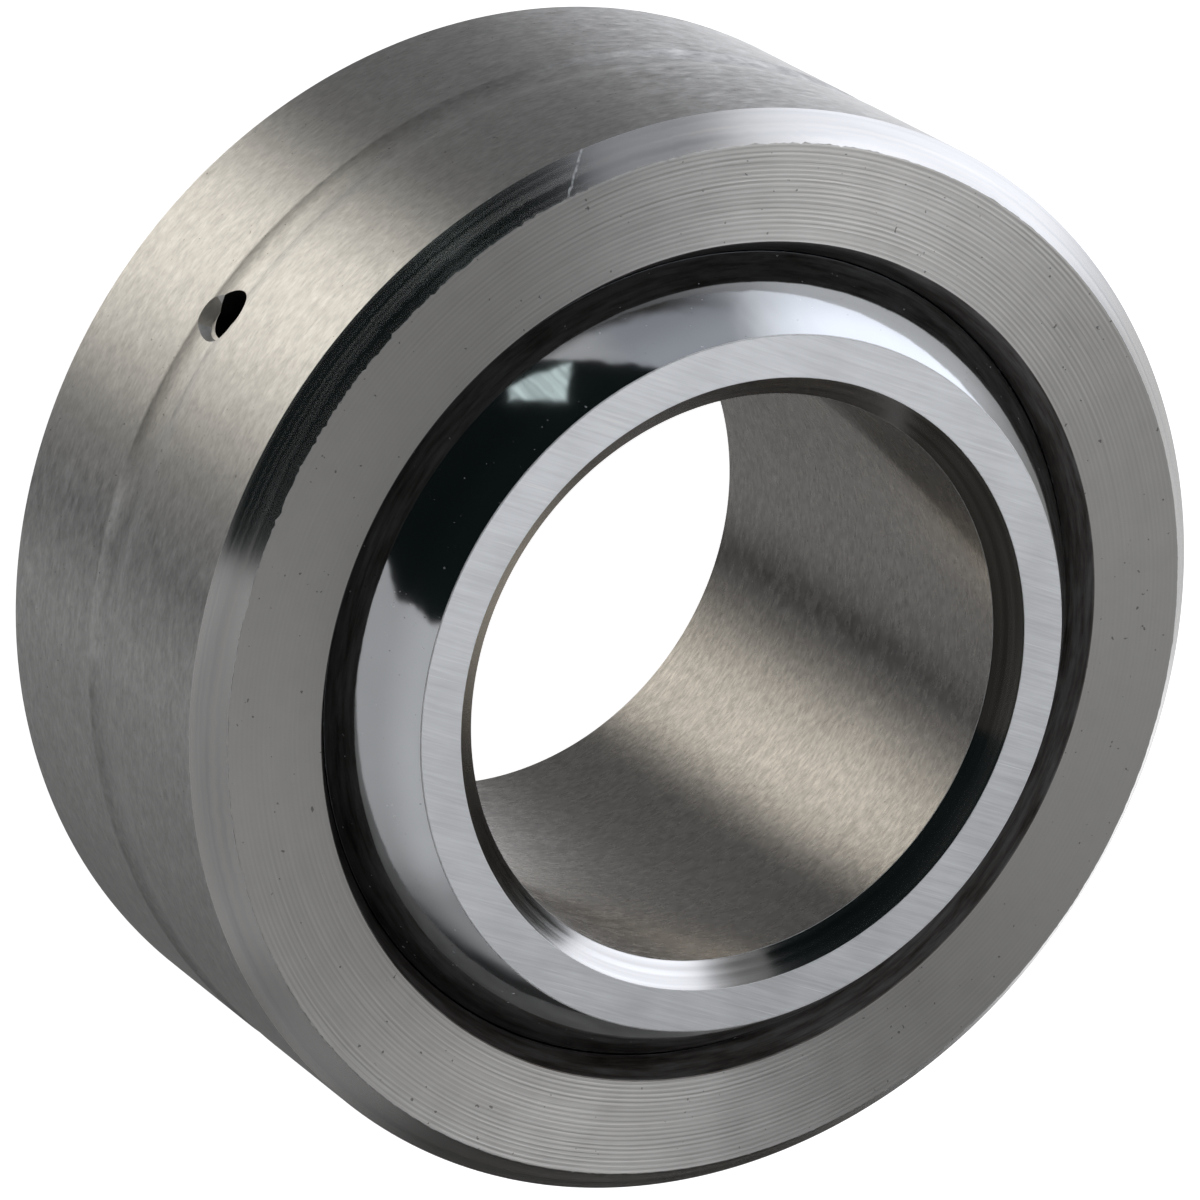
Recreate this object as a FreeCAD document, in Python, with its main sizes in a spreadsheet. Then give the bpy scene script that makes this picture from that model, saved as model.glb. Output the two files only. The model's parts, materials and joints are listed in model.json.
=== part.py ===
import FreeCAD, Part
import Sketcher
import math
import os

# Spherical plain bearing for a 3/4 inch shaft: a solid ball with a through
# bore, held in a one-piece outer race that is closed round it by swaging.
# Millimetres. The origin is the centre of the ball. +Z is the bore axis.
# The bearing stands on the lower flat face of the ball. The race wall brings
# the outside to 36.5125 mm, the 1 7/16 inch of this size of bearing.

# Driving sizes: alias, value and meaning. Lengths are in millimetres.
SIZES = [
    ("BoreDiameter", 19.05, "ball bore, for a 3/4 inch shaft"),
    ("BallWidth", 19.05, "ball, from flat face to flat face"),
    ("BallDiameter", 30.15, "sphere that the ball is cut from"),
    ("BoreChamfer", 0.75, "45 degree chamfer at each mouth of the bore"),
    ("BallRimBreak", 0.1, "small chamfer between a flat face and the sphere"),
    ("RaceWall", 3.15125, "outer race, from the seat to the outside at mid-width"),
    ("RaceWidth", 15.06, "outer race, from face to face"),
    ("RaceChamferDepth", 1.0, "outer chamfer, along the axis"),
    ("RaceChamferHeight", 0.88, "outer chamfer, across the face"),
    ("SeatClearance", 0.03, "radial play between ball and seat"),
    ("LipDepth", 1.0, "bevel inside each face, along the axis"),
    ("LipFlare", 0.51, "bevel inside each face, outwards"),
    ("GrooveWidth", 1.8, "V-shaped oil groove round the race, at mid-width"),
    ("GrooveDepth", 0.15, "oil groove, at its deepest"),
    ("OilHoleDiameter", 2.0, "oil hole from the groove to the ball"),
]

# Sizes that follow from them: the seat round the ball, and the outside
SEAT_RADIUS = "Sizes.BallDiameter / 2 + Sizes.SeatClearance"
RACE_RADIUS = f"{SEAT_RADIUS} + Sizes.RaceWall"

ORIGIN = FreeCAD.Vector(0, 0, 0)
SKETCH_NORMAL = FreeCAD.Vector(0, 0, 1)
TOLERANCE = 1e-4

# In a sketch, -1 is its horizontal axis with the origin as point 1, and -2
# is its vertical axis. Point 1 of a line or an arc is its start, 2 its end,
# and 3 the centre of an arc or a circle.
H_AXIS, V_AXIS = range(-1, -3, -1)
START, END, CENTRE = range(1, 4)


def make_sheet(doc):
    """The spreadsheet of driving sizes, one row each."""
    sheet = doc.addObject("Spreadsheet::Sheet", "Sizes")
    for row, (alias, value, meaning) in enumerate(SIZES, start=1):
        sheet.set(f"A{row}", alias)
        sheet.set(f"B{row}", str(value))
        sheet.setAlias(f"B{row}", alias)
        sheet.set(f"C{row}", meaning)
    doc.recompute()
    return sheet


def make_body(doc, label):
    body = doc.addObject("PartDesign::Body", label)
    body.Label = label
    body.Placement = FreeCAD.Placement(ORIGIN, FreeCAD.Rotation())
    return body


def origin_plane(body, role):
    """The plane of the body's own origin that has that role."""
    return next(p for p in body.Origin.OriginFeatures if p.Role == role)


def make_sketch(body, name, role):
    """An empty sketch on one of the body's origin planes."""
    sketch = body.newObject("Sketcher::SketchObject", name)
    sketch.AttachmentSupport = [(origin_plane(body, role), "")]
    sketch.MapMode = "FlatFace"
    return sketch


def constrain(sketch, kind, *where):
    return sketch.addConstraint(Sketcher.Constraint(kind, *where))


def evaluate(sketch, formula):
    """What a formula of the driving sizes comes to."""
    return float(sketch.evalExpression(formula))


def dimension(sketch, name, kind, where, formula):
    """A named dimension of the sketch, bound to the driving sizes."""
    index = constrain(sketch, kind, *where, evaluate(sketch, formula))
    sketch.renameConstraint(index, name)
    sketch.setExpression(f"Constraints.{name}", formula)


def add_outline(sketch, points, arc_side=None):
    """A closed outline through the points. Its sides are straight, but for
    side number arc_side, which is an arc about the sketch's origin."""
    corners = [FreeCAD.Vector(x, y, 0) for x, y in points]
    count = len(corners)
    for side in range(count):
        start = corners[side]
        end = corners[(side + 1) % count]
        if side == arc_side:
            circle = Part.Circle(ORIGIN, SKETCH_NORMAL, start.Length)
            angles = [math.atan2(corner.y, corner.x) for corner in (start, end)]
            sketch.addGeometry(Part.ArcOfCircle(circle, *angles), False)
        else:
            sketch.addGeometry(Part.LineSegment(start, end), False)
    for side in range(count):
        constrain(sketch, "Coincident", side, END, (side + 1) % count, START)
    if arc_side is not None:
        constrain(sketch, "Coincident", arc_side, CENTRE, H_AXIS, START)


def make_circle(body, name, role, formula):
    """A sketch of one circle about the origin, bound to its diameter."""
    sketch = make_sketch(body, name, role)
    radius = evaluate(sketch, formula) / 2
    sketch.addGeometry(Part.Circle(ORIGIN, SKETCH_NORMAL, radius), False)
    constrain(sketch, "Coincident", 0, CENTRE, H_AXIS, START)
    dimension(sketch, "Diameter", "Diameter", (0,), formula)
    return sketch


def revolve(body, kind, name, sketch):
    """A full turn of the sketch about the bore axis. It adds or it cuts."""
    feature = body.newObject(kind, name)
    feature.Profile = sketch
    feature.ReferenceAxis = (sketch, ["V_Axis"])
    feature.Angle = 360
    body.Document.recompute()
    return feature


def check_cut(before, after):
    """A cut has to leave less of the solid than it found."""
    if after.Shape.Volume > before.Shape.Volume - TOLERANCE:
        raise RuntimeError(f"{after.Name} cut nothing")


def ball_blank(body, sheet):
    """The solid ball: half of its section, turned about the bore axis. A
    small chamfer breaks the rim between each flat face and the sphere."""
    face_height = sheet.BallWidth / 2
    rim_height = face_height - sheet.BallRimBreak
    rim_radius = math.sqrt((sheet.BallDiameter / 2) ** 2 - rim_height**2)
    face_radius = rim_radius - sheet.BallRimBreak

    section = make_sketch(body, "BallSection", "XZ_Plane")
    sphere, rim, face, axis, _, lower_rim = range(6)
    points = [
        (rim_radius, -rim_height),
        (rim_radius, rim_height),
        (face_radius, face_height),
        (0, face_height),
        (0, -face_height),
        (face_radius, -face_height),
    ]
    add_outline(section, points, sphere)
    constrain(section, "Horizontal", face)
    constrain(section, "PointOnObject", axis, START, V_AXIS)
    constrain(section, "Symmetric", axis, START, axis, END, H_AXIS)
    constrain(section, "Symmetric", sphere, START, sphere, END, H_AXIS)
    constrain(section, "Symmetric", rim, END, lower_rim, START, H_AXIS)
    dimension(section, "Width", "DistanceY", (axis, END, axis, START),
              "Sizes.BallWidth")
    dimension(section, "SphereRadius", "Radius", (sphere,),
              "Sizes.BallDiameter / 2")
    dimension(section, "RimDepth", "DistanceY", (rim, START, rim, END),
              "Sizes.BallRimBreak")
    dimension(section, "RimHeight", "DistanceX", (rim, END, rim, START),
              "Sizes.BallRimBreak")
    return revolve(body, "PartDesign::Revolution", "BallBlank", section)


def countersink(body, sheet):
    """The upper mouth of the bore, cut by a 45 degree cone with its point on
    the axis. The cone reaches past the flat face."""
    reach = sheet.BoreDiameter / 2 + 2 * sheet.BoreChamfer
    top = sheet.BallWidth / 2 + sheet.BoreChamfer

    section = make_sketch(body, "MouthSection", "XZ_Plane")
    _, base, axis = range(3)
    add_outline(section, [(0, top - reach), (reach, top), (0, top)])
    constrain(section, "Horizontal", base)
    constrain(section, "PointOnObject", axis, START, V_AXIS)
    constrain(section, "PointOnObject", axis, END, V_AXIS)
    constrain(section, "Equal", base, axis)
    dimension(section, "Reach", "DistanceX", (base, END, base, START),
              "Sizes.BoreDiameter / 2 + 2 * Sizes.BoreChamfer")
    dimension(section, "Top", "DistanceY", (H_AXIS, START, base, END),
              "Sizes.BallWidth / 2 + Sizes.BoreChamfer")
    return revolve(body, "PartDesign::Groove", "UpperMouth", section)


def make_ball(doc, sheet):
    """The ball: a sphere cut to two flat faces and bored through."""
    body = make_body(doc, "ball")
    blank = ball_blank(body, sheet)

    bore = body.newObject("PartDesign::Pocket", "Bore")
    bore.Profile = make_circle(body, "BoreCircle", "XY_Plane",
                               "Sizes.BoreDiameter")
    bore.Type = "ThroughAll"
    bore.Midplane = True
    doc.recompute()
    check_cut(blank, bore)

    upper = countersink(body, sheet)
    check_cut(bore, upper)
    lower = body.newObject("PartDesign::Mirrored", "LowerMouth")
    lower.Originals = [upper]
    lower.MirrorPlane = (origin_plane(body, "XY_Plane"), [""])
    body.Tip = lower
    doc.recompute()
    check_cut(upper, lower)
    return body


def race_ring(body, sheet):
    """The ring: its section has the spherical seat, a bevel inside each
    face, the two faces, the outer chamfers and the outside."""
    section = make_sketch(body, "RaceSection", "XZ_Plane")
    seat_radius = evaluate(section, SEAT_RADIUS)
    outer_radius = evaluate(section, RACE_RADIUS)
    face_height = sheet.RaceWidth / 2
    land_height = face_height - sheet.RaceChamferDepth
    land_radius = outer_radius - sheet.RaceChamferHeight
    seat_height = face_height - sheet.LipDepth
    mouth_radius = math.sqrt(seat_radius**2 - seat_height**2)
    lip_radius = mouth_radius + sheet.LipFlare

    seat, lip, face, chamfer, outside, _, lower_face, lower_lip = range(8)
    points = [
        (mouth_radius, -seat_height),
        (mouth_radius, seat_height),
        (lip_radius, face_height),
        (land_radius, face_height),
        (outer_radius, land_height),
        (outer_radius, -land_height),
        (land_radius, -face_height),
        (lip_radius, -face_height),
    ]
    add_outline(section, points, seat)
    constrain(section, "Horizontal", face)
    constrain(section, "Symmetric", seat, START, seat, END, H_AXIS)
    constrain(section, "Symmetric", lip, END, lower_lip, START, H_AXIS)
    constrain(section, "Symmetric", face, END, lower_face, START, H_AXIS)
    constrain(section, "Symmetric", outside, START, outside, END, H_AXIS)
    dimension(section, "SeatRadius", "Radius", (seat,), SEAT_RADIUS)
    dimension(section, "Width", "DistanceY", (lower_lip, START, lip, END),
              "Sizes.RaceWidth")
    dimension(section, "LipDepth", "DistanceY", (lip, START, lip, END),
              "Sizes.LipDepth")
    dimension(section, "LipFlare", "DistanceX", (lip, START, lip, END),
              "Sizes.LipFlare")
    dimension(section, "OuterRadius", "DistanceX", (H_AXIS, START, outside, START),
              RACE_RADIUS)
    dimension(section, "ChamferDepth", "DistanceY", (chamfer, END, chamfer, START),
              "Sizes.RaceChamferDepth")
    dimension(section, "ChamferHeight", "DistanceX", (chamfer, START, chamfer, END),
              "Sizes.RaceChamferHeight")
    return revolve(body, "PartDesign::Revolution", "Ring", section)


def oil_groove(body, sheet):
    """The V of the oil groove. Its flanks run on past the outside, as far
    as its point lies below it, so the V is twice as wide as the groove."""
    section = make_sketch(body, "GrooveSection", "XZ_Plane")
    outer_radius = evaluate(section, RACE_RADIUS)
    _, upper_flank, base = range(3)
    points = [
        (outer_radius + sheet.GrooveDepth, -sheet.GrooveWidth),
        (outer_radius - sheet.GrooveDepth, 0),
        (outer_radius + sheet.GrooveDepth, sheet.GrooveWidth),
    ]
    add_outline(section, points)
    constrain(section, "PointOnObject", upper_flank, START, H_AXIS)
    constrain(section, "Symmetric", base, START, base, END, H_AXIS)
    dimension(section, "PointRadius", "DistanceX",
              (H_AXIS, START, upper_flank, START),
              f"{RACE_RADIUS} - Sizes.GrooveDepth")
    dimension(section, "BaseRadius", "DistanceX", (H_AXIS, START, base, START),
              f"{RACE_RADIUS} + Sizes.GrooveDepth")
    dimension(section, "BaseWidth", "DistanceY", (base, END, base, START),
              "2 * Sizes.GrooveWidth")
    return revolve(body, "PartDesign::Groove", "OilGroove", section)


def make_race(doc, sheet):
    """The outer race: the ring with its oil groove and its oil hole."""
    body = make_body(doc, "outer_race")
    ring = race_ring(body, sheet)
    groove = oil_groove(body, sheet)
    check_cut(ring, groove)

    # The hole runs along +X only, from the ball's centre out past the race
    hole = body.newObject("PartDesign::Pocket", "OilHole")
    hole.Profile = make_circle(body, "OilHoleCircle", "YZ_Plane",
                               "Sizes.OilHoleDiameter")
    hole.Type = "ThroughAll"
    hole.Reversed = True
    doc.recompute()
    check_cut(groove, hole)
    return body


def check_document(doc, bodies):
    """Nothing has failed, and each piece is one valid solid."""
    for item in doc.Objects:
        if "Invalid" in item.State or "Error" in item.State:
            raise RuntimeError(f"{item.Name} failed: {item.State}")
    for body in bodies:
        shape = body.Shape
        if shape.isNull() or not shape.isValid() or len(shape.Solids) != 1:
            raise RuntimeError(f"{body.Label} is not one valid solid")


def main():
    doc = FreeCAD.newDocument("SphericalPlainBearing")
    sheet = make_sheet(doc)
    bodies = [make_race(doc, sheet), make_ball(doc, sheet)]
    doc.recompute()
    check_document(doc, bodies)
    os.makedirs("parts", exist_ok=True)
    for body in bodies:
        body.Shape.exportStep(f"parts/{body.Label}.step")
        print(body.Label, round(body.Shape.Volume, 2), "mm3", body.Shape.BoundBox)


main()
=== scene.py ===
import json
import math
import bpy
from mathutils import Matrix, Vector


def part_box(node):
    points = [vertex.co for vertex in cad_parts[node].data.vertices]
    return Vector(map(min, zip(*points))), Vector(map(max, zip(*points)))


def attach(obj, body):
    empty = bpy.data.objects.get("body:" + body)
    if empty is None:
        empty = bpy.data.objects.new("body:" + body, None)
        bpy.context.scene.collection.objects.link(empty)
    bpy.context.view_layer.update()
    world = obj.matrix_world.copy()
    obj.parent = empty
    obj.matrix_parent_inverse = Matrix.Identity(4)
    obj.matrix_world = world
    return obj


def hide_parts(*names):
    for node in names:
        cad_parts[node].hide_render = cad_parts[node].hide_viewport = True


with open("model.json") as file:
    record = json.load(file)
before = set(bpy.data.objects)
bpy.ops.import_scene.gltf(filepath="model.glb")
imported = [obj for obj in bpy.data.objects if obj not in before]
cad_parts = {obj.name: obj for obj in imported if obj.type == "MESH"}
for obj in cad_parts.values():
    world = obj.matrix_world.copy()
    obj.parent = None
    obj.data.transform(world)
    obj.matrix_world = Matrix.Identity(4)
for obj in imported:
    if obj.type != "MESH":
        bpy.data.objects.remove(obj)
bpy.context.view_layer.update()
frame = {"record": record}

from types import SimpleNamespace

import bpy
import numpy as np
from mathutils import Matrix, Vector, noise

MM = 0.001

# Sizes in metres. What the frame states is read from it, and the rest
# repeats the named values of the part's source.
mounts = {mount["name"]: mount["dims"] for mount in frame["record"]["mounts"]}
RACE_RADIUS = mounts["outer_diameter"]["r_mm"] * MM
RACE_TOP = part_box("outer_race")[1].z
CHAMFER_ALONG = RACE_TOP - mounts["outer_diameter"]["length_mm"] * MM / 2
CHAMFER_IN = 0.88 * MM
BORE_RADIUS = mounts["bore"]["r_mm"] * MM
BALL_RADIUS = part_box("ball")[1].x
BALL_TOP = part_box("ball")[1].z
BORE_CHAMFER = BALL_TOP - mounts["bore"]["length_mm"] * MM / 2
SEAT_RADIUS = BALL_RADIUS + 0.03 * MM
LIP_DEPTH = 1.0 * MM
LIP_FLARE = 0.51 * MM
GROOVE_WIDTH = 1.8 * MM
GROOVE_DEPTH = 0.15 * MM

# What only the scene has: rounded edges, a burr, a torn oil hole, a floor.
CRISP_EDGE = 0.03 * MM
SOFT_EDGE = 0.06 * MM
GROOVE_UPPER_ROUNDING = 2.6 * MM
GROOVE_LOWER_ROUNDING = 0.5 * MM
BURR_SIZE = 0.085 * MM
BURR_REACH = 0.1 * MM
DRILL_RADIUS = 0.83 * MM
DRILL_CENTRE = (-0.22 * MM, 0.16 * MM)
MOUTH_RADII = (0.66 * MM, 1.05 * MM)
MOUTH_DEPTH = 0.40 * MM
MOUTH_CENTRE = (0.07 * MM, -0.02 * MM)
HOLE_REACH = 1.3 * MM
MOUTH_TILT = 0.3
TOOL_OVERRUN = 0.1 * MM
TURNS = 720
FLOOR_HALF = 1.5


# Profiles for the lathe

# A profile is a closed outline in radius and height. Its outward normal lies
# to the left of the way of travel.

def corner(radius, height, rounding, side, arc=None, edge="edge"):
    """A corner of a profile, the name of the side that starts there and that
    of its own rounding. arc is the centre of the side's circle, where the
    side isn't straight."""
    return SimpleNamespace(at=np.array([radius, height]), rounding=rounding,
                           side=side, arc=arc, edge=edge)


def cross(a, b):
    return a[0] * b[1] - a[1] * b[0]


def angle_between(a, b):
    cosine = float(a @ b) / (np.linalg.norm(a) * np.linalg.norm(b))
    return math.acos(max(-1.0, min(1.0, cosine)))


def left_of(direction):
    return np.array([-direction[1], direction[0]])


def side_directions(here, ahead):
    """Unit directions of travel at both ends of a side."""
    if here.arc is None:
        along = (ahead.at - here.at) / np.linalg.norm(ahead.at - here.at)
        return along, along
    spokes = here.at - here.arc, ahead.at - here.arc
    turn = np.sign(cross(*spokes))
    return tuple(turn * left_of(spoke) / np.linalg.norm(spoke) for spoke in spokes)


def slerp(a, b, share):
    """A unit vector between two others."""
    angle = angle_between(a, b)
    if angle < 1e-6:
        return a
    return (math.sin((1 - share) * angle) * a + math.sin(share * angle) * b) / math.sin(angle)


def rounding_segments(here, before, after, setback, steps=4):
    """A rounded corner, as short straight segments."""
    ends = left_of(before), left_of(after)
    bulge = -np.sign(cross(before, after))
    centre = here.at - before * setback - bulge * ends[0] * here.rounding
    normals = [slerp(*ends, step / steps) for step in range(steps + 1)]
    for a, b in zip(normals[:-1], normals[1:]):
        start, end = (centre + bulge * normal * here.rounding for normal in (a, b))
        yield start, end, a, b, here.edge


def arc_segments(here, ahead, setbacks, steps):
    """A side that follows a circle, as short straight segments."""
    spokes = here.at - here.arc, ahead.at - here.arc
    radius = np.linalg.norm(spokes[0])
    turn = np.sign(cross(*spokes))
    first = math.atan2(spokes[0][1], spokes[0][0])
    start, end = setbacks[0] / radius, angle_between(*spokes) - setbacks[1] / radius
    angles = first + turn * np.linspace(start, end, steps + 1)
    units = [np.array([math.cos(angle), math.sin(angle)]) for angle in angles]
    for a, b in zip(units[:-1], units[1:]):
        yield here.arc + radius * a, here.arc + radius * b, -turn * a, -turn * b, here.side


def trace_profile(corners, arc_steps=28):
    """The segments of a closed profile: both ends, the normals there and the
    side's name. Each corner is rounded to its own radius."""
    following = corners[1:] + corners[:1]
    ways = [side_directions(here, ahead) for here, ahead in zip(corners, following)]
    arriving = [ways[i - 1][1] for i in range(len(corners))]
    leaving = [way[0] for way in ways]
    setbacks = [here.rounding * math.tan(angle_between(before, after) / 2)
                for here, before, after in zip(corners, arriving, leaving)]
    segments = []
    for i, (here, ahead) in enumerate(zip(corners, following)):
        ends = setbacks[i], setbacks[(i + 1) % len(corners)]
        if here.rounding > 0:
            segments += rounding_segments(here, arriving[i], leaving[i], ends[0])
        if here.arc is not None:
            segments += arc_segments(here, ahead, ends, arc_steps)
        else:
            normal = left_of(leaving[i])
            start, end = here.at + leaving[i] * ends[0], ahead.at - ways[i][1] * ends[1]
            segments.append((start, end, normal, normal, here.side))
    return segments


def race_profile():
    land = RACE_TOP - CHAMFER_ALONG
    land_radius = RACE_RADIUS - CHAMFER_IN
    seat = RACE_TOP - LIP_DEPTH
    seat_radius = math.sqrt(SEAT_RADIUS**2 - seat**2)
    lip_radius = seat_radius + LIP_FLARE
    bank = GROOVE_WIDTH / 2
    groove_radius = (bank**2 + GROOVE_DEPTH**2) / (2 * GROOVE_DEPTH)
    groove_centre = np.array([RACE_RADIUS - GROOVE_DEPTH + groove_radius, 0.0])
    return trace_profile([
        corner(seat_radius, -seat, CRISP_EDGE, "seat", arc=np.zeros(2)),
        corner(seat_radius, seat, CRISP_EDGE, "lip"),
        corner(lip_radius, RACE_TOP, SOFT_EDGE, "face", edge="lip"),
        corner(land_radius, RACE_TOP, CRISP_EDGE, "chamfer"),
        corner(RACE_RADIUS, land, CRISP_EDGE, "outside"),
        corner(RACE_RADIUS, bank, GROOVE_UPPER_ROUNDING, "groove", arc=groove_centre,
               edge="groove"),
        corner(RACE_RADIUS, -bank, GROOVE_LOWER_ROUNDING, "outside", edge="groove"),
        corner(RACE_RADIUS, -land, CRISP_EDGE, "chamfer"),
        corner(land_radius, -RACE_TOP, CRISP_EDGE, "face"),
        corner(lip_radius, -RACE_TOP, SOFT_EDGE, "lip", edge="lip"),
    ])


def ball_profile():
    rim = math.sqrt(BALL_RADIUS**2 - BALL_TOP**2)
    mouth_radius = BORE_RADIUS + BORE_CHAMFER
    wall = BALL_TOP - BORE_CHAMFER
    return trace_profile([
        corner(BORE_RADIUS, -wall, CRISP_EDGE, "bore"),
        corner(BORE_RADIUS, wall, CRISP_EDGE, "mouth"),
        corner(mouth_radius, BALL_TOP, CRISP_EDGE, "face"),
        corner(rim, BALL_TOP, SOFT_EDGE, "sphere", arc=np.zeros(2)),
        corner(rim, -BALL_TOP, SOFT_EDGE, "face"),
        corner(mouth_radius, -BALL_TOP, CRISP_EDGE, "mouth"),
    ], arc_steps=64)


# Meshes

def make_piece(name, points, faces):
    mesh = bpy.data.meshes.new(name)
    mesh.from_pydata(points, [], faces)
    mesh.update()
    piece = bpy.data.objects.new(name, mesh)
    bpy.context.scene.collection.objects.link(piece)
    return piece


def quads_between(ring, above, sides):
    """The faces between two rings of points, given by their numbers."""
    for k in range(sides):
        beside = (k + 1) % sides
        yield (ring * sides + k, above * sides + k,
               above * sides + beside, ring * sides + beside)


def lathe(name, segments, shift=None):
    """A closed mesh: the profile turned about Z. shift moves the points of
    the rings along the radius, as a function of ring and angle."""
    rings = np.array([segment[0] for segment in segments])
    angles = np.linspace(0, 2 * math.pi, TURNS, endpoint=False)
    radii = np.repeat(rings[:, :1], TURNS, axis=1)
    if shift is not None:
        radii = radii + shift(rings, angles)
    heights = np.repeat(rings[:, 1:], TURNS, axis=1)
    points = np.stack([radii * np.cos(angles), radii * np.sin(angles), heights], axis=-1)
    faces = []
    for ring in range(len(rings)):
        faces += quads_between(ring, (ring + 1) % len(rings), TURNS)
    return make_piece(name, points.reshape(-1, 3).tolist(), faces)


def burr(rings, angles):
    """The ragged inner edge of the upper chamfer: small steps in and out,
    largest on the +X side."""
    land_radius = RACE_RADIUS - CHAMFER_IN
    near = np.hypot(rings[:, 0] - land_radius, rings[:, 1] - RACE_TOP) < BURR_REACH

    def ragged(angle, pace, seed):
        return noise.noise(Vector((pace * math.cos(angle), pace * math.sin(angle), seed)))

    steps = [0.3 * ragged(angle, 9, 0.3) + 0.6 * ragged(angle, 41, 4.7) + ragged(angle, 90, 9.1)
             for angle in angles]
    share = 0.25 + 0.75 * np.clip(1.5 * np.cos(angles) + 0.2, 0, 1)
    return np.outer(near, share * np.array(steps)) * BURR_SIZE


def frustum(name, stations, centre, sides=64):
    """A closed solid along +X: circles given as place and radius."""
    points = []
    for x, radius in stations:
        for k in range(sides):
            angle = 2 * math.pi * k / sides
            points.append((x, centre[0] + radius * math.cos(angle),
                           centre[1] + radius * math.sin(angle)))
    faces = [tuple(reversed(range(sides))), tuple(range(len(points) - sides, len(points)))]
    for ring in range(len(stations) - 1):
        faces += (quad[::-1] for quad in quads_between(ring, ring + 1, sides))
    return make_piece(name, points, faces)


def cut(piece, tool):
    """Takes the tool's solid out of the piece."""
    modifier = piece.modifiers.new("Cut", "BOOLEAN")
    modifier.operation = "DIFFERENCE"
    modifier.solver = "EXACT"
    modifier.object = tool
    graph = bpy.context.evaluated_depsgraph_get()
    mesh = bpy.data.meshes.new_from_object(piece.evaluated_get(graph))
    piece.modifiers.clear()
    piece.data = mesh
    bpy.data.objects.remove(tool)


def drill_oil_hole(piece):
    """The oil hole, which broke out a little off centre at its mouth."""
    outside = RACE_RADIUS + TOOL_OVERRUN
    cut(piece, frustum("Drill", [
        (SEAT_RADIUS - 2 * MM, DRILL_RADIUS),
        (outside, DRILL_RADIUS),
    ], DRILL_CENTRE))
    cut(piece, frustum("Burr", [
        (RACE_RADIUS - MOUTH_DEPTH, MOUTH_RADII[0]),
        (outside, MOUTH_RADII[1]),
    ], MOUTH_CENTRE))


def read_all(items, key, width, kind=float):
    """One value of every item of a mesh, as an array."""
    values = np.empty(len(items) * width, dtype=kind)
    items.foreach_get(key, values)
    return values.reshape(-1, width) if width > 1 else values


def turned_surface(segments, points, first, counts):
    """For every face the segment of the profile that it lies on, and for
    every corner of a face the true normal of the turned surface."""
    starts, ends, normals_a, normals_b = (np.array([s[i] for s in segments]) for i in range(4))
    spans = ends - starts
    lengths = (spans**2).sum(1)
    radius = np.hypot(points[:, 0], points[:, 1])
    plane = np.column_stack([radius, points[:, 2]])

    middles = np.add.reduceat(plane, first) / counts[:, None]
    offsets = middles[:, None] - starts
    shares = np.clip((offsets * spans).sum(2) / lengths, 0, 1)
    nearest = np.linalg.norm(offsets - shares[..., None] * spans, axis=2).argmin(1)

    own = np.repeat(nearest, counts)
    share = np.clip(((plane - starts[own]) * spans[own]).sum(1) / lengths[own], 0, 1)[:, None]
    normals = normals_a[own] * (1 - share) + normals_b[own] * share
    normals /= np.linalg.norm(normals, axis=1)[:, None]
    outward = normals[:, :1] * points[:, :2] / radius[:, None]
    return nearest, np.column_stack([outward, normals[:, 1]])


def hole_surface(mesh, points, first, counts, normals):
    """Which faces are the oil hole's, and which of those tilt outwards, as its
    flared mouth does. Their corners get the true normals of both."""
    flat = read_all(mesh.polygons, "normal", 3)
    owner = np.repeat(np.arange(len(counts)), counts)
    agrees = (normals * flat[owner]).sum(1) > 0.75
    off_axis = np.hypot(points[:, 1], points[:, 2])
    near = (points[:, 0] > 0) & (off_axis < HOLE_REACH) & ~agrees
    whole = np.add.reduceat(near.astype(int), first) == counts
    inside = whole[owner]
    tilt = np.clip(flat[owner][inside, 0], 0, 1)[:, None]
    centre = np.where(tilt > MOUTH_TILT, MOUTH_CENTRE, DRILL_CENTRE)
    inward = centre - points[inside, 1:]
    inward /= np.linalg.norm(inward, axis=1)[:, None]
    normals[inside] = np.hstack([tilt, inward * np.sqrt(1 - tilt**2)])
    return whole, flat[whole, 0] > MOUTH_TILT


def finish_surface(piece, segments, materials, hole_materials=()):
    """Gives each face the material of its side of the profile, and each
    corner of a face its true normal. The oil hole's wall and its flared
    mouth have materials of their own."""
    mesh = piece.data
    mesh.materials.clear()
    for material in (*materials.values(), *hole_materials):
        mesh.materials.append(material)
    points = read_all(mesh.vertices, "co", 3)[read_all(mesh.loops, "vertex_index", 1, int)]
    first = read_all(mesh.polygons, "loop_start", 1, int)
    counts = read_all(mesh.polygons, "loop_total", 1, int)
    nearest, normals = turned_surface(segments, points, first, counts)
    names = list(materials)
    slots = np.array([names.index(segment[4]) for segment in segments])[nearest]
    if hole_materials:
        whole, flared = hole_surface(mesh, points, first, counts, normals)
        slots[whole] = len(names) + flared
    mesh.polygons.foreach_set("material_index", slots)
    mesh.polygons.foreach_set("use_smooth", np.ones(len(counts), dtype=bool))
    mesh.normals_split_custom_set(normals.tolist())
    mesh.update()


# Shader nodes

WHITE = (1.0, 1.0, 1.0, 1.0)


def grey(level, tint=WHITE):
    return (level * tint[0], level * tint[1], level * tint[2], 1.0)


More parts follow.
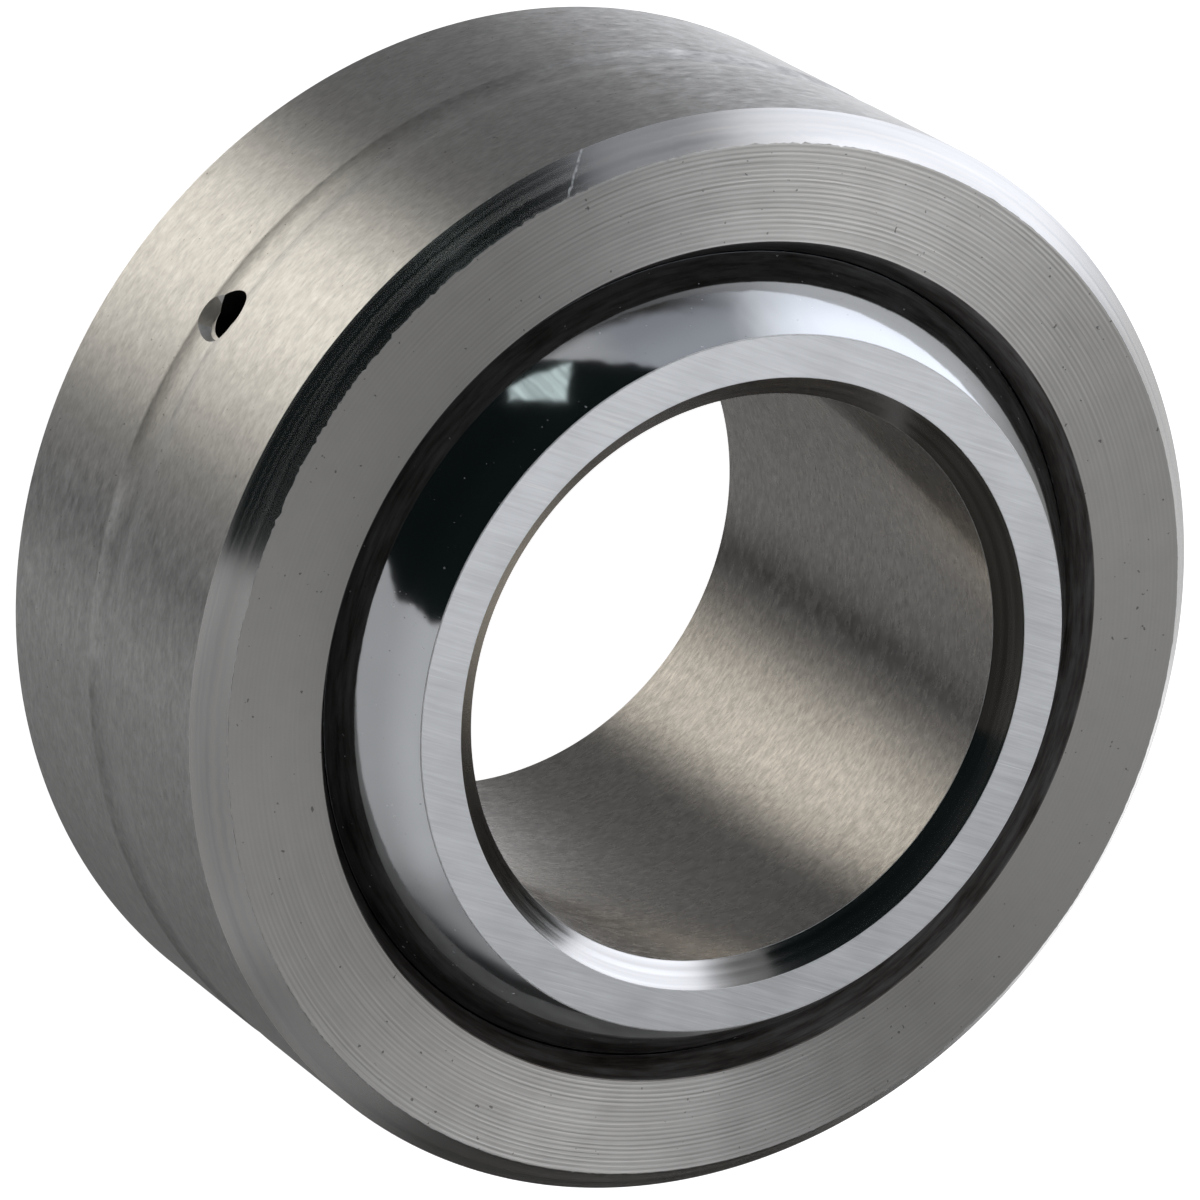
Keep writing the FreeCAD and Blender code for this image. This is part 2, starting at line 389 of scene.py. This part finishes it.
class Graph:
    """A short way to write a tree of shader nodes. A value is a number or
    the socket that it comes from."""

    def __init__(self, tree):
        self.tree = tree
        tree.nodes.clear()

    def add(self, kind, inputs=None, **settings):
        node = self.tree.nodes.new(kind)
        for key, value in settings.items():
            setattr(node, key, value)
        for key, value in (inputs or {}).items():
            self.put(node.inputs[key], value)
        return node

    def put(self, socket, value):
        if isinstance(value, bpy.types.NodeSocket):
            self.tree.links.new(value, socket)
        else:
            socket.default_value = value

    def math(self, operation, *values):
        node = self.add("ShaderNodeMath", dict(enumerate(values)), operation=operation)
        return node.outputs[0]

    def plus(self, value, *others):
        for other in others:
            value = self.math("ADD", value, other)
        return value

    def times(self, value, *others):
        for other in others:
            value = self.math("MULTIPLY", value, other)
        return value

    def minus(self, value, other):
        return self.math("SUBTRACT", value, other)

    def absolute(self, value):
        return self.math("ABSOLUTE", value)

    def centred(self, value, amount):
        """Noise from 0 to 1, as a change of about amount either way."""
        return self.times(self.minus(value, 0.5), 4 * amount)

    def remap(self, value, low, high, to_low=0.0, to_high=1.0, smooth=True):
        return self.add("ShaderNodeMapRange", {
            "Value": value, "From Min": low, "From Max": high, "To Min": to_low, "To Max": to_high,
        }, interpolation_type="SMOOTHSTEP" if smooth else "LINEAR").outputs[0]

    def mix(self, share, a, b):
        """A colour between two others."""
        return self.add("ShaderNodeMix", {0: share, 6: a, 7: b}, data_type="RGBA").outputs[2]

    def scaled(self, vector, factor):
        node = self.add("ShaderNodeVectorMath", {0: vector, "Scale": factor}, operation="SCALE")
        return node.outputs[0]

    def shifted(self, vector, by):
        node = self.add("ShaderNodeVectorMath", {0: vector, 1: (by, by, by)}, operation="ADD")
        return node.outputs[0]

    def join(self, x, y, z):
        return self.add("ShaderNodeCombineXYZ", {"X": x, "Y": y, "Z": z}).outputs[0]

    def split(self, vector):
        return self.add("ShaderNodeSeparateXYZ", {"Vector": vector}).outputs

    def noise(self, vector, detail=2.0, scale=1.0, roughness=0.5):
        inputs = {"Vector": vector, "Scale": scale, "Detail": detail, "Roughness": roughness}
        return self.add("ShaderNodeTexNoise", inputs).outputs["Fac"]


class Metal(Graph):
    """The material of one kind of metal surface. It knows its own place in
    millimetres: x, y, z, and the distance from the bore axis."""

    def __init__(self, name):
        self.material = bpy.data.materials.new(name)
        self.material.use_nodes = True
        super().__init__(self.material.node_tree)
        self.place = self.scaled(self.add("ShaderNodeTexCoord").outputs["Object"], 1 / MM)
        self.x, self.y, self.z = self.split(self.place)
        self.radius = self.math("SQRT", self.plus(self.times(self.x, self.x),
                                                  self.times(self.y, self.y)))

    def along(self, turn):
        """The place along a straight direction, turned from X by degrees."""
        angle = math.radians(turn)
        return self.plus(self.times(self.x, math.cos(angle)), self.times(self.y, math.sin(angle)))

    def streaks(self, across, width, length, detail=2.0, roughness=0.55):
        """Noise drawn out round the bore axis."""
        at = self.join(self.math("DIVIDE", self.x, length), self.math("DIVIDE", self.y, length),
                       self.math("DIVIDE", across, width))
        return self.noise(at, detail, roughness=roughness)

    def scratches(self, turn, width, length, detail, roughness, height):
        """Noise drawn out along a straight direction."""
        at = self.join(self.math("DIVIDE", self.along(turn), length),
                       self.math("DIVIDE", self.along(turn + 90), width), height)
        return self.noise(at, detail, roughness=roughness)

    def specks(self, size, share, seed):
        """Small ragged pits, 0 to 1."""
        place = self.shifted(self.place, seed)
        fine = self.noise(place, detail=1.5, scale=1 / size)
        level = self.minus(0.80 - share * 0.1, self.times(self.noise(place, scale=0.35), 0.10))
        return self.remap(fine, level, self.plus(level, 0.025))

    def finish(self, base, roughness, height=None, depth=0.0, anisotropy=0.0, lay=None, raw=None):
        """Bare metal. Across its marks, which run round the bore axis or
        along lay, the reflection is drawn out. depth is that of its marks in
        millimetres. raw is the share of it that scatters light: where it is
        freshly scratched or dirty, and on the ball's edges as painted light."""
        shader = self.add("ShaderNodeBsdfPrincipled", {
            "Base Color": base, "Metallic": 1.0, "Roughness": roughness,
            "Anisotropic": anisotropy, "Anisotropic Rotation": 0.25 if anisotropy else 0.0,
        })
        if height is not None:
            bump = self.add("ShaderNodeBump", {
                "Height": height, "Distance": depth * MM, "Strength": 1.0})
            self.put(shader.inputs["Normal"], bump.outputs[0])
        if lay is not None:
            angle = math.radians(lay)
            self.put(shader.inputs["Tangent"], self.join(math.cos(angle), math.sin(angle), 0.0))
        elif anisotropy:
            tangent = self.add("ShaderNodeTangent", direction_type="RADIAL", axis="Z")
            self.put(shader.inputs["Tangent"], tangent.outputs[0])
        if isinstance(raw, float):
            self.put(shader.inputs["Metallic"], 1.0 - raw)
        elif raw is not None:
            self.put(shader.inputs["Metallic"], self.minus(1.0, raw))
        self.add("ShaderNodeOutputMaterial", {"Surface": shader.outputs[0]})
        return self.material


# Materials

# Lengths here are in millimetres, and sides are in degrees from X.
STEEL = (0.57, 0.565, 0.56)
CHROME = (0.615, 0.635, 0.66)
DIRT = (0.05, 0.045, 0.04, 1.0)
DUST = (0.8, 0.82, 0.85, 1.0)
OIL_AND_SHADE = (0.085, 0.087, 0.09, 1.0)
LIP_BROWN = (0.18, 0.15, 0.12, 1.0)
LIP_GREY = (0.14, 0.146, 0.158, 1.0)
TARNISH = (0.45, 0.36, 0.3, 1.0)
FRESH_SCRATCH = (0.9, 0.93, 0.96, 1.0)
EDGE_STEEL = (0.58, 0.58, 0.58, 1.0)
CHIPPED = (0.92, 0.93, 0.95, 1.0)
TOOL_FEED = 0.165
RING_GLINT_SIDE = -68.0
FILM_AND_SHADE_SIDE = 105.0
FACE_LAY = 16.0
FACE_PAINTED_LIGHT_SIDE = -40.0
NICK_PLACE = 14.86


def ground_steel(name, colour, seed=0.0, contrast=1.0, roughness=0.32, painted_light=None):
    """A cylinder finished by a grinding wheel: short fine strokes round the
    axis, cloudy patches and a few pits. The last argument, if given, scales
    the colour by place, as painted light and shade."""
    metal = Metal(name)
    height = metal.plus(metal.z, seed)
    strokes = metal.streaks(height, width=0.11, length=0.30)
    patches = metal.streaks(height, width=0.32, length=0.75, detail=3.0)
    scratches = metal.remap(metal.streaks(height, width=0.035, length=5.0, detail=1.0), 0.70, 0.78)
    mottle = metal.noise(metal.place, detail=4.0, scale=1.3, roughness=0.6)
    level = metal.plus(
        1.0, metal.centred(strokes, 0.16 * contrast), metal.centred(patches, 0.14),
        metal.centred(mottle, 0.07), metal.times(scratches, 0.14))
    if painted_light is not None:
        level = metal.times(level, painted_light(metal))
    base = metal.scaled(colour, level)
    pits = metal.specks(size=0.16, share=0.0, seed=seed)
    base = metal.mix(metal.times(pits, 0.6), base, DIRT)
    rough = metal.plus(roughness, metal.centred(patches, 0.05))
    marks = metal.plus(strokes, metal.times(patches, 1.6))
    return metal.finish(base, rough, marks, depth=0.0026 * contrast, anisotropy=0.95)


def bore_painted_light_and_shade(metal):
    """The bore's painted light and shade: its colour is brighter towards +X,
    as a painted reflection, and darker in a wedge by its upper mouth, as a
    painted shade."""
    # Painted light: the colour grows brighter towards +X. Painted shade: a wedge by the upper
    # mouth is darkened to 0.6.
    painted_side_light = metal.remap(metal.x, -9.5, 0.0, 0.79, 1.77, smooth=False)
    slanted = metal.plus(metal.z, metal.times(metal.x, 2.08))
    painted_shade_wedge = metal.times(metal.remap(slanted, -3.2, -2.1), metal.remap(metal.y, -6.6, -7.7))
    return metal.times(painted_side_light, metal.remap(painted_shade_wedge, 0.0, 1.0, 1.0, 0.6, smooth=False))


def turned_face():
    """The race's faces: fine rings left by the lathe tool. On two opposite
    sides their bumps are deeper and their colour contrast is stronger, as a
    painted glint."""
    metal = Metal("race_face")
    drift = metal.streaks(metal.radius, width=0.5, length=5.0)
    feed = metal.plus(metal.times(metal.radius, 2 * math.pi / TOOL_FEED), metal.times(drift, 4.0))
    uneven = metal.remap(metal.streaks(metal.radius, width=0.25, length=7.0), 0.3, 0.7, 0.6, 1.25)
    # Painted glint: the colour contrast of the rings, like their bumps, is strongest on two
    # opposite sides.
    side = metal.absolute(metal.math("DIVIDE", metal.along(RING_GLINT_SIDE), metal.radius))
    depth = metal.times(uneven, metal.remap(side, 0.35, 0.85, 0.15, 1.0))
    rings = metal.times(metal.math("SINE", feed), depth)
    threads = metal.streaks(metal.radius, width=0.05, length=8.0)
    fine = metal.times(metal.centred(threads, 0.5), depth)
    patches = metal.noise(metal.place, detail=3.0, scale=0.7)
    level = metal.plus(1.0, metal.times(rings, 0.08), metal.times(fine, 0.22),
                       metal.centred(patches, 0.06))
    base = metal.scaled((0.64, 0.63, 0.615), level)
    pits = metal.specks(size=0.22, share=0.12, seed=7.3)
    base = metal.mix(metal.times(pits, 0.6), base, DIRT)
    rough = metal.plus(0.42, metal.centred(patches, 0.04))
    marks = metal.plus(metal.times(rings, 0.6), fine)
    return metal.finish(base, rough, marks, depth=0.0036, anisotropy=0.88)


def turned_chamfer(name, colour, roughness, nicked=False):
    """A narrow turned cone, with streaks that run a long way round."""
    metal = Metal(name)
    lines = metal.streaks(metal.z, width=0.13, length=22.0, detail=1.0)
    patches = metal.streaks(metal.z, width=0.5, length=6.0, detail=1.0)
    level = metal.plus(1.0, metal.centred(lines, 0.18), metal.centred(patches, 0.08))
    base = metal.scaled(colour, level)
    rough = metal.plus(roughness, metal.centred(lines, 0.04))
    raw = None
    if nicked:
        raw = metal.times(metal.remap(lines, 0.3, 0.75), 0.13)
        base = metal.mix(raw, base, TARNISH)
        scratch = nick(metal)
        base = metal.mix(scratch, base, FRESH_SCRATCH)
        raw = metal.math("MAXIMUM", raw, scratch)
    return metal.finish(base, rough, anisotropy=0.6, raw=raw)


def nick(metal):
    """The one scratch straight across the upper chamfer, 0 to 1."""
    line = metal.remap(metal.absolute(metal.minus(metal.x, NICK_PLACE)), 0.015, 0.045, 1.0, 0.0)
    here = metal.times(metal.math("LESS_THAN", metal.y, 0.0),
                       metal.math("GREATER_THAN", metal.z, 0.0))
    uneven = metal.noise(metal.place, detail=2.0, scale=4.0)
    return metal.times(line, here, metal.remap(uneven, 0.3, 0.6, 0.3, 0.8))


def dark_lip():
    """The flared mouth round the ball: dark brownish grey with smears, and
    darkest on the +X side, which is painted shade."""
    metal = Metal("race_lip")
    smears = metal.streaks(metal.z, width=0.25, length=2.2, detail=4.0, roughness=0.65)
    lines = metal.streaks(metal.z, width=0.05, length=6.0)
    lip_tone = metal.mix(smears, LIP_BROWN, LIP_GREY)
    level = metal.plus(1.0, metal.centred(smears, 0.75), metal.centred(lines, 0.2))
    # Painted shade: the colour darkens towards +X, to 0.4 at 9 mm.
    base = metal.scaled(metal.scaled(lip_tone, level), metal.remap(metal.x, 0.0, 9.0, 1.0, 0.4))
    raw = metal.remap(smears, 0.35, 0.7, 0.12, 0.42)
    return metal.finish(base, 0.42, smears, depth=0.006, raw=raw)


def plain_metal(name, colour, roughness, raw=None):
    """A small or hidden surface: clouded bare metal."""
    metal = Metal(name)
    clouds = metal.noise(metal.place, detail=3.0, scale=2.0)
    base = metal.scaled(colour, metal.plus(1.0, metal.centred(clouds, 0.12)))
    rough = metal.plus(roughness, metal.centred(clouds, 0.06))
    return metal.finish(base, rough, raw=raw)


def burred_mouth():
    """The oil hole's flared mouth: torn bright metal."""
    metal = Metal("hole_mouth")
    torn = metal.noise(metal.place, detail=3.0, scale=2.5)
    base = metal.scaled((0.8, 0.79, 0.77), metal.plus(1.0, metal.centred(torn, 0.25)))
    return metal.finish(base, 0.5, raw=metal.remap(torn, 0.3, 0.7, 0.1, 0.6))


def broken_edge():
    """The race's sharp edges, with bright spots where they are chipped."""
    metal = Metal("race_edge")
    chips = metal.noise(metal.place, detail=2.0, scale=3.2, roughness=0.6)
    raw = metal.remap(chips, 0.60, 0.68)
    base = metal.mix(raw, EDGE_STEEL, CHIPPED)
    return metal.finish(base, 0.3, raw=raw)


def oil_film_and_shade(metal):
    """How dark the sphere is made, 0 to 1, by an oil film and by painted
    shade: it starts below the rims and is darkest near the race, in the gap
    between the parts. On one side it is darker and goes all the way up."""
    side = metal.along(FILM_AND_SHADE_SIDE)
    below = metal.minus(metal.absolute(metal.z), metal.remap(side, 9.5, 12.2, 0.0, 1.2))
    return metal.times(metal.remap(below, 9.35, 8.2, 0.0, 0.72),
                       metal.remap(side, 6.0, 12.5, 0.35, 1.0))


def polished_chrome():
    """The ball's sphere: bright and very slightly wavy, with a few fine
    marks, spots and grains of dust, and an oil film with painted shade near
    the race."""
    metal = Metal("ball_polished")
    waves = metal.noise(metal.place, detail=2.0, scale=0.55)
    marks = metal.remap(metal.streaks(metal.z, width=0.05, length=1.6, detail=1.0), 0.74, 0.80)
    level = metal.plus(1.0, metal.centred(waves, 0.03), metal.times(marks, 0.05))
    base = metal.scaled(CHROME, level)
    spots = metal.specks(size=0.12, share=-0.1, seed=3.1)
    base = metal.mix(metal.times(spots, 0.5), base, DIRT)
    # Oil film and painted shade: the sphere's colour darkens towards the race and on one side.
    base = metal.mix(oil_film_and_shade(metal), base, OIL_AND_SHADE)
    dust = metal.remap(metal.noise(metal.place, detail=1.0, scale=6.0), 0.765, 0.79)
    base = metal.mix(dust, base, DUST)
    rough = metal.plus(0.07, metal.times(marks, 0.06))
    return metal.finish(base, rough, waves, depth=0.012, raw=metal.times(dust, 0.5))


def lapped_face():
    """The ball's faces: bright, with straight fine scratches, and a little
    brighter on one side, which is painted light."""
    metal = Metal("ball_face")
    lines = metal.scratches(FACE_LAY, width=0.09, length=2.6, detail=3.0, roughness=0.6,
                            height=metal.z)
    deep = metal.scratches(FACE_LAY, width=0.06, length=4.0, detail=1.0, roughness=0.5,
                           height=9.0)
    patches = metal.noise(metal.place, detail=3.0, scale=0.5)
    level = metal.plus(
        1.0, metal.centred(lines, 0.11), metal.centred(patches, 0.06),
        metal.times(metal.remap(deep, 0.70, 0.78), 0.20),
        # Painted light: the colour grows a little lighter towards one side.
        metal.times(metal.along(FACE_PAINTED_LIGHT_SIDE), 0.015))
    base = metal.scaled((0.785, 0.80, 0.825), level)
    rough = metal.plus(0.45, metal.centred(patches, 0.04))
    return metal.finish(base, rough, lines, depth=0.0012, anisotropy=0.8, lay=FACE_LAY)


# The pieces

def make_race():
    segments = race_profile()
    piece = lathe("race_ring", segments, burr)
    drill_oil_hole(piece)
    ground = ground_steel("race_ground", STEEL)
    finish_surface(piece, segments, {
        "outside": ground,
        "face": turned_face(),
        "chamfer": turned_chamfer("race_chamfer", (0.63, 0.63, 0.63), 0.20, nicked=True),
        "groove": ground,
        "lip": dark_lip(),
        "seat": plain_metal("race_seat", (0.3, 0.3, 0.3), 0.4),
        "edge": broken_edge(),
    # The oil hole's wall is near black: painted shade inside the hole.
    }, [plain_metal("hole_wall_painted_shade", (0.06, 0.058, 0.055), 0.5), burred_mouth()])
    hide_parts("outer_race")
    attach(piece, "outer_race")


def make_ball():
    segments = ball_profile()
    piece = lathe("chrome_ball", segments)
    finish_surface(piece, segments, {
        "sphere": polished_chrome(),
        "face": lapped_face(),
        # The bore's colour carries painted light towards +X and painted shade by its upper mouth.
        "bore": ground_steel("ball_bore", (0.385, 0.37, 0.355), seed=31.0, contrast=1.6,
                             roughness=0.26, painted_light=bore_painted_light_and_shade),
        "mouth": turned_chamfer("ball_mouth", STEEL, 0.12),
        # The ball's edges are whitish and scatter light: painted light along the rims.
        "edge": plain_metal("ball_edge_painted_light", (0.8, 0.81, 0.83), 0.35, raw=0.85),
    })
    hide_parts("ball")
    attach(piece, "ball")


# The studio

# Panels of light and dark round the bearing, which the metal reflects.
# Directions are in degrees of azimuth and elevation.
WARM = (1.0, 0.945, 0.84)
COOL = (0.95, 0.98, 1.05)
DOME = grey(0.27)
HORIZON = grey(0.57)
DOME_EDGE = (34.0, 48.0)
ROOM = grey(0.028, WARM)
CARD = (0.006, 0.009, 0.009, 1.0)
PANE = (0.86, 1.0, 0.97)


def panel_at(azimuth, elevation, soft, level, tint=WHITE):
    """A panel between two azimuths and two elevations. soft is how far its
    left, right, lower and upper edges fade."""
    return SimpleNamespace(azimuth=azimuth, elevation=elevation, soft=soft,
                           colour=grey(level, tint))


PANELS = [
    panel_at((-180, 180), (-90, -36), (1, 1, 1, 16), 0.24),
    panel_at((-19, -12), (-74, -34), (30, 50, 14, 16), 2.3, WARM),
    panel_at((40, 45), (-74, -34), (4, 9, 12, 16), 0.02),
    panel_at((72, 84), (-74, -34), (12, 40, 12, 16), 0.37),
    panel_at((180, 184), (-74, -50), (20, 66, 12, 18), 1.85),
    panel_at((-180, 180), (-90, -77), (1, 1, 1, 9), 0.6),
    panel_at((178, 212), (-44, 0), (10, 14, 10, 14), 0.68),
    panel_at((182, 187), (-47, -40), (4, 6, 6, 4), 1.5),
    panel_at((-124, -100), (-24, 60), (26, 32, 16, 12), 1.55, COOL),
    panel_at((-138, -112), (40, 56), (18, 20, 12, 10), 1.75),
    panel_at((-72, -52), (-20, 40), (12, 10, 12, 14), 0.42, COOL),
    panel_at((-86, -58), (23, 40), (8, 8, 6, 6), 0.2),
    panel_at((-90, -20), (58, 80), (14, 20, 8, 8), 0.15),
    panel_at((96, 150), (56, 70), (14, 14, 8, 10), 0.46),
    panel_at((102, 128), (-14, 40), (16, 12, 12, 14), 0.32),
    panel_at((66, 148), (-31, -11), (10, 16, 12, 5), 0.06),
    panel_at((-60, 24), (-30, -2), (22, 8, 8, 4), 0.05, WARM),
]
# Convex shapes, whose corners run counter-clockwise with azimuth to the
# right: what is darkest round the bearing, and one small window.
DARK_ROOM = [
    [(26, 48), (26, 27), (128, 0), (128, 46)],
    [(116, 46), (118, 2), (167, -42), (178, -42), (178, 46)],
]
DARK_CARD = [(-80, 46), (-76, 30), (-28, -3), (20, -3), (28, 8), (31, 18), (32, 46)]
WINDOW = [(-31, 13.5), (-38, 5), (-24, 1.5), (-22.5, 4.5)]


def panel_share(graph, azimuth, elevation, panel):
    """How much of a panel shows in a direction. One that runs all the way
    round has no left and right edge."""
    left, right, lower, upper = panel.soft
    low, high = panel.elevation
    share = graph.times(graph.remap(elevation, low - lower, low),
                        graph.remap(elevation, high, high + upper, 1.0, 0.0))
    middle = sum(panel.azimuth) / 2
    half = panel.azimuth[1] - middle
    if half < 180:
        away = graph.math("WRAP", graph.minus(azimuth, middle), 180.0, -180.0)
        share = graph.times(share, graph.remap(away, -half - left, -half),
                            graph.remap(away, half, half + right, 1.0, 0.0))
    return share


def polygon_share(graph, azimuth, elevation, corners, soft):
    """How much of a convex shape shows in a direction."""
    share = None
    for (a, b), (c, d) in zip(corners, corners[1:] + corners[:1]):
        length = math.hypot(c - a, d - b)
        inward = (b - d) / length, (c - a) / length
        depth = graph.plus(graph.times(azimuth, inward[0]), graph.times(elevation, inward[1]),
                           -(a * inward[0] + b * inward[1]))
        inside = graph.remap(depth, -soft, soft)
        share = inside if share is None else graph.math("MINIMUM", share, inside)
    return share


def studio_light(graph):
    """The colour of the studio in every direction."""
    direction = graph.add("ShaderNodeTexCoord").outputs["Generated"]
    x, y, z = graph.split(direction)
    azimuth = graph.math("DEGREES", graph.math("ARCTAN2", y, x))
    elevation = graph.math("DEGREES", graph.math("ARCSINE", z))

    light = graph.mix(graph.remap(elevation, *DOME_EDGE), HORIZON, DOME)
    for panel in PANELS:
        light = graph.mix(panel_share(graph, azimuth, elevation, panel), light, panel.colour)
    for corners in DARK_ROOM:
        share = polygon_share(graph, azimuth, elevation, corners, soft=4.0)
        light = graph.mix(share, light, ROOM)

    ripple = graph.centred(graph.noise(direction, detail=1.0, scale=6.0), 1.8)
    share = polygon_share(graph, graph.plus(azimuth, ripple), graph.minus(elevation, ripple),
                          DARK_CARD, soft=0.5)
    light = graph.mix(share, light, CARD)

    bars = graph.noise(graph.join(azimuth, 0.0, 0.0), scale=0.9)
    pane = graph.scaled(PANE, graph.remap(bars, 0.35, 0.65, 0.5, 1.4))
    return graph.mix(polygon_share(graph, azimuth, elevation, WINDOW, soft=0.6), light, pane)


def make_world():
    """The studio, as the metal sees it. The camera itself sees white."""
    world = bpy.data.worlds.new("Studio")
    bpy.context.scene.world = world
    world.use_nodes = True
    world.cycles.sampling_method = "NONE"
    graph = Graph(world.node_tree)
    seen = graph.add("ShaderNodeLightPath").outputs["Is Camera Ray"]
    colour = graph.mix(seen, studio_light(graph), WHITE)
    background = graph.add("ShaderNodeBackground", {"Color": colour, "Strength": 1.0})
    graph.add("ShaderNodeOutputWorld", {"Surface": background.outputs[0]})


def make_floor():
    """A plain white floor that keeps a faint shadow. The metal reflects the
    studio in its place."""
    signs = (-1, -1), (1, -1), (1, 1), (-1, 1)
    corners = [(FLOOR_HALF * x, FLOOR_HALF * y, -BALL_TOP) for x, y in signs]
    floor = make_piece("floor", corners, [(0, 1, 2, 3)])
    material = bpy.data.materials.new("floor_white")
    material.use_nodes = True
    graph = Graph(material.node_tree)
    plain = graph.add("ShaderNodeBsdfDiffuse", {"Color": grey(0.8)}).outputs[0]
    glow = graph.add("ShaderNodeEmission", {"Color": WHITE, "Strength": 0.93}).outputs[0]
    bright = graph.add("ShaderNodeAddShader", {0: plain, 1: glow}).outputs[0]
    seen = graph.add("ShaderNodeLightPath").outputs["Is Camera Ray"]
    surface = graph.add("ShaderNodeMixShader", {0: seen, 1: plain, 2: bright}).outputs[0]
    graph.add("ShaderNodeOutputMaterial", {"Surface": surface})
    floor.data.materials.append(material)
    floor.visible_glossy = False


# The camera

CAMERA_AZIMUTH = 2.7
CAMERA_ELEVATION = 55.7
CAMERA_DISTANCE = 259.41 * MM
CAMERA_ROLL = 122.84
CAMERA_TARGET = Vector((0.07, 0.22, -0.05)) * MM
CAMERA_LENS = 237.1


def make_camera():
    """Looks down on the standing bearing, turned so that its axis runs to
    the lower right of the picture."""
    data = bpy.data.cameras.new("Camera")
    data.lens = CAMERA_LENS
    data.sensor_width = 36.0
    data.clip_start = 0.01
    data.clip_end = 10.0
    camera = bpy.data.objects.new("Camera", data)
    azimuth = math.radians(CAMERA_AZIMUTH)
    elevation = math.radians(CAMERA_ELEVATION)
    location = CAMERA_DISTANCE * Vector((
        math.cos(azimuth) * math.cos(elevation),
        math.sin(azimuth) * math.cos(elevation),
        math.sin(elevation),
    ))
    look = (CAMERA_TARGET - location).to_track_quat("-Z", "Y").to_matrix().to_4x4()
    roll = Matrix.Rotation(math.radians(CAMERA_ROLL), 4, "Z")
    camera.matrix_world = Matrix.Translation(location) @ look @ roll
    bpy.context.scene.collection.objects.link(camera)
    bpy.context.scene.camera = camera


make_race()
make_ball()
make_world()
make_floor()
make_camera()
bpy.context.scene.view_settings.view_transform = "Standard"

bpy.context.view_layer.update()
